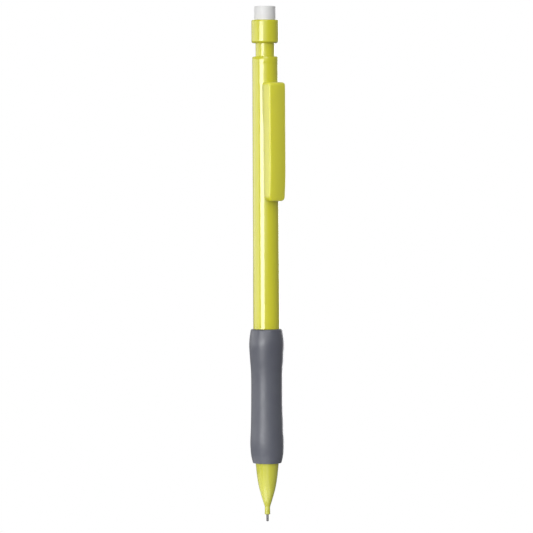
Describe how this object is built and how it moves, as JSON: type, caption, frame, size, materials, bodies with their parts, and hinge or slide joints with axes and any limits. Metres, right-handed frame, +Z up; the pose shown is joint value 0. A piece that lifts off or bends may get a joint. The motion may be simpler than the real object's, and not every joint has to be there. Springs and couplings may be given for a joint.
{
  "type": "mechanical pencil",
  "caption": "Push-button mechanical pencil with a slim yellow-green barrel, grey contoured rubber grip, moulded pocket clip, cone tip and white eraser in the button.",
  "frame": {"origin": "centre of the lead's flat writing end, on the pencil's axis", "axes": "+Z up the pencil's axis from the writing point to the eraser, -Y out of the barrel through the middle of the pocket clip"},
  "size_m": [0.0102, 0.0117, 0.15],
  "materials": {
    "yellow_green_plastic": "gloss",
    "grey_rubber": "matte",
    "white_vinyl": "matte",
    "natural_plastic": "satin",
    "brass": "satin",
    "spring_steel": "satin",
    "black_rubber": "matte",
    "graphite": "satin"
  },
  "bodies": {
    "root": {"barrel": "yellow_green_plastic", "nose_cone": "yellow_green_plastic", "rubber_grip": "grey_rubber", "barrel_end_bush": "yellow_green_plastic", "clip_root": "yellow_green_plastic", "return_spring": "spring_steel", "mechanism_sleeve": "natural_plastic", "lead_retainer": "black_rubber"},
    "plunger": {"push_button": "yellow_green_plastic", "lead_tube": "natural_plastic", "lead_funnel": "natural_plastic", "chuck_tube": "brass", "spare_lead_1": "graphite", "spare_lead_2": "graphite"},
    "eraser": {"eraser": "white_vinyl"},
    "jaw_1": {"chuck_jaw_1": "brass"},
    "jaw_2": {"chuck_jaw_2": "brass"},
    "jaw_3": {"chuck_jaw_3": "brass"},
    "clutch_ring": {"clutch_ring": "brass"},
    "lead": {"working_lead": "graphite"},
    "clip_arm": {"pocket_clip": "yellow_green_plastic"}
  },
  "joints": [
    {"name": "button_press", "type": "slide", "parent": "root", "child": "plunger", "axis": [0, 0, -1], "range_m": [0, 0.0035], "stiffness_N_per_m": 1000, "springref_m": -0.002, "deforming": ["return_spring"]},
    {"name": "jaw_1_open", "type": "hinge", "parent": "plunger", "child": "jaw_1", "pos_m": [0, -0.00087, 0.026], "axis": [-1, 0, 0], "range_deg": [0, 1.81]},
    {"name": "jaw_2_open", "type": "hinge", "parent": "plunger", "child": "jaw_2", "pos_m": [0.00075, 0.00044, 0.026], "axis": [0.5, -0.866, 0], "range_deg": [0, 1.81]},
    {"name": "jaw_3_open", "type": "hinge", "parent": "plunger", "child": "jaw_3", "pos_m": [-0.00075, 0.00044, 0.026], "axis": [0.5, 0.866, 0], "range_deg": [0, 1.81]},
    {"name": "ring_slide", "type": "slide", "parent": "root", "child": "clutch_ring", "axis": [0, 0, -1], "range_m": [0, 0.00105]},
    {"name": "lead_feed", "type": "slide", "parent": "root", "child": "lead", "axis": [0, 0, -1], "range_m": [-0.002, 0.036]},
    {"name": "eraser_pull", "type": "slide", "parent": "plunger", "child": "eraser", "axis": [0, 0, 1], "range_m": [0, 0.0046]},
    {"name": "clip_flex", "type": "hinge", "parent": "root", "child": "clip_arm", "pos_m": [0, -0.0065, 0.119], "axis": [-1, 0, 0], "range_deg": [0, 5], "stiffness_Nm_per_rad": 1.2}
  ],
  "couplings": [
    {"joint": "jaw_1_open", "follows": "button_press", "rad_per_m": 9},
    {"joint": "jaw_2_open", "follows": "button_press", "rad_per_m": 9},
    {"joint": "jaw_3_open", "follows": "button_press", "rad_per_m": 9},
    {"joint": "ring_slide", "follows": "button_press", "ratio": 0.3}
  ]
}
